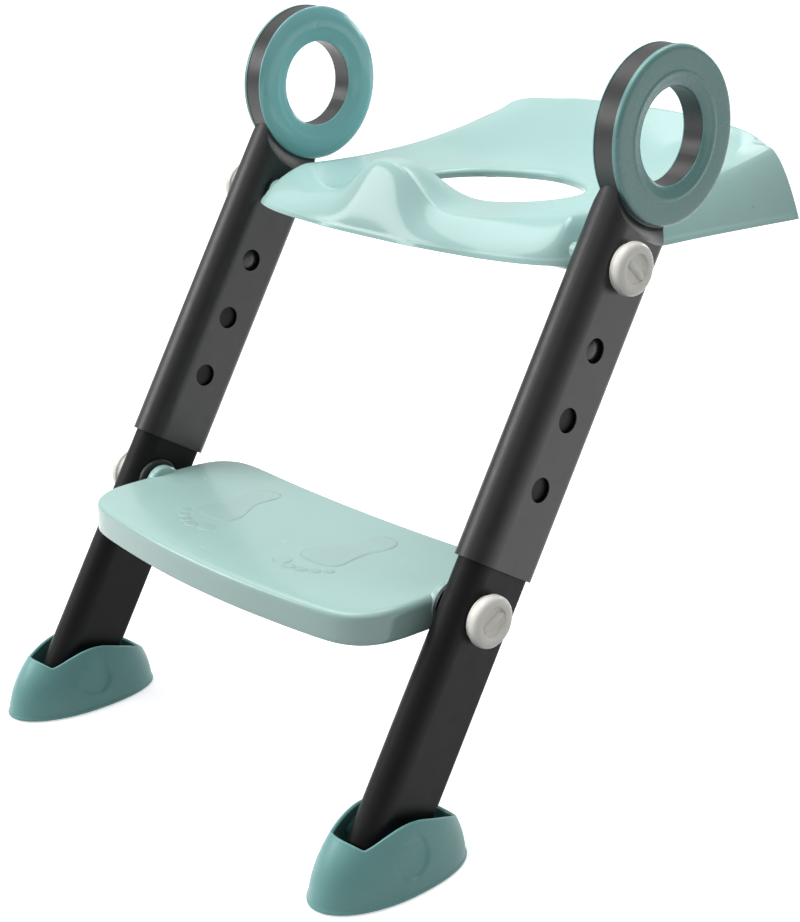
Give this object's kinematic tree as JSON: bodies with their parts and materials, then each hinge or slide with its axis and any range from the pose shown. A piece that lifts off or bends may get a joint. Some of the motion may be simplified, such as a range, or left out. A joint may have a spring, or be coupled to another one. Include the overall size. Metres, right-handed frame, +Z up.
{
  "type": "potty training chair",
  "caption": "Folding toilet-training ladder seat with a hollow moulded seat, telescopic side legs with ring handles, a hinged step and rocking boots.",
  "frame": {"origin": "centre of the footprint on the floor, X = 0 in the plane of symmetry", "axes": "+Z up, +Y from the step towards the toilet, +X across, towards the child's right hand when the child faces the toilet"},
  "size_m": [0.397, 0.458, 0.4855],
  "materials": {
    "dark_plastic": "satin",
    "mint_plastic": "gloss",
    "step_plastic": "satin",
    "boot_plastic": "satin",
    "grip_plastic": "satin",
    "knob_plastic": "gloss",
    "button_plastic": "satin",
    "black_plastic": "satin",
    "bolt_steel": "satin",
    "insert_brass": "satin",
    "spring_steel": "satin",
    "pad_rubber": "matte"
  },
  "bodies": {
    "seat": {"seat_shell": "mint_plastic", "seat_nut_inserts": "insert_brass", "seat_pads": "pad_rubber"},
    "upper_frame": {"upper_leg_right": "dark_plastic", "upper_leg_left": "dark_plastic", "grip_ring_outer_right": "grip_plastic", "grip_ring_outer_left": "grip_plastic", "grip_ring_inner_right": "grip_plastic", "grip_ring_inner_left": "grip_plastic", "seat_hinge_washers": "black_plastic"},
    "lower_frame": {"lower_leg_right": "dark_plastic", "lower_leg_left": "dark_plastic", "leg_foot_plug_right": "black_plastic", "leg_foot_plug_left": "black_plastic", "snap_spring_right": "spring_steel", "snap_spring_left": "spring_steel", "step_hinge_washers": "black_plastic"},
    "step": {"step_board": "step_plastic", "step_nut_inserts": "insert_brass"},
    "foot_right": {"foot_boot_right": "boot_plastic", "foot_sole_right": "pad_rubber", "foot_pin_right": "bolt_steel"},
    "seat_knob_right": {"seat_knob_right": "knob_plastic", "seat_bolt_right": "bolt_steel"},
    "step_knob_right": {"step_knob_right": "knob_plastic", "step_bolt_right": "bolt_steel"},
    "button_outer_right": {"snap_button_outer_right": "button_plastic"},
    "button_inner_right": {"snap_button_inner_right": "button_plastic"},
    "foot_left": {"foot_boot_left": "boot_plastic", "foot_sole_left": "pad_rubber", "foot_pin_left": "bolt_steel"},
    "seat_knob_left": {"seat_knob_left": "knob_plastic", "seat_bolt_left": "bolt_steel"},
    "step_knob_left": {"step_knob_left": "knob_plastic", "step_bolt_left": "bolt_steel"},
    "button_outer_left": {"snap_button_outer_left": "button_plastic"},
    "button_inner_left": {"snap_button_inner_left": "button_plastic"}
  },
  "joints": [
    {"name": "ladder_fold", "type": "hinge", "parent": "seat", "child": "upper_frame", "pos_m": [0, 0.01021, 0.35571], "axis": [1, 0, 0], "range_deg": [-60, 90]},
    {"name": "leg_slide", "type": "slide", "parent": "upper_frame", "child": "lower_frame", "axis": [0, -0.495, -0.8689], "range_m": [0, 0.0912]},
    {"name": "step_tilt", "type": "hinge", "parent": "lower_frame", "child": "step", "pos_m": [0, -0.10364, 0.15586], "axis": [1, 0, 0], "range_deg": [0, 60]},
    {"name": "foot_rock_right", "type": "hinge", "parent": "lower_frame", "child": "foot_right", "pos_m": [0.1675, -0.1738, 0.02665], "axis": [1, 0, 0], "range_deg": [-8, 8]},
    {"name": "seat_knob_turn_right", "type": "hinge", "parent": "upper_frame", "child": "seat_knob_right", "pos_m": [0.187, 0.01021, 0.35571], "axis": [1, 0, 0], "continuous": true},
    {"name": "step_knob_turn_right", "type": "hinge", "parent": "lower_frame", "child": "step_knob_right", "pos_m": [0.184, -0.10364, 0.15586], "axis": [1, 0, 0], "continuous": true},
    {"name": "button_press_outer_right", "type": "slide", "parent": "lower_frame", "child": "button_outer_right", "axis": [-1, 0, 0], "range_m": [0, 0.003], "stiffness_N_per_m": 1500, "springref_m": -0.001, "deforming": ["snap_spring_right"]},
    {"name": "button_press_inner_right", "type": "slide", "parent": "lower_frame", "child": "button_inner_right", "axis": [1, 0, 0], "range_m": [0, 0.003], "stiffness_N_per_m": 1500, "springref_m": -0.001, "deforming": ["snap_spring_right"]},
    {"name": "foot_rock_left", "type": "hinge", "parent": "lower_frame", "child": "foot_left", "pos_m": [-0.1675, -0.1738, 0.02665], "axis": [1, 0, 0], "range_deg": [-8, 8]},
    {"name": "seat_knob_turn_left", "type": "hinge", "parent": "upper_frame", "child": "seat_knob_left", "pos_m": [-0.187, 0.01021, 0.35571], "axis": [-1, 0, 0], "continuous": true},
    {"name": "step_knob_turn_left", "type": "hinge", "parent": "lower_frame", "child": "step_knob_left", "pos_m": [-0.184, -0.10364, 0.15586], "axis": [-1, 0, 0], "continuous": true},
    {"name": "button_press_outer_left", "type": "slide", "parent": "lower_frame", "child": "button_outer_left", "axis": [1, 0, 0], "range_m": [0, 0.003], "stiffness_N_per_m": 1500, "springref_m": -0.001, "deforming": ["snap_spring_left"]},
    {"name": "button_press_inner_left", "type": "slide", "parent": "lower_frame", "child": "button_inner_left", "axis": [-1, 0, 0], "range_m": [0, 0.003], "stiffness_N_per_m": 1500, "springref_m": -0.001, "deforming": ["snap_spring_left"]}
  ]
}
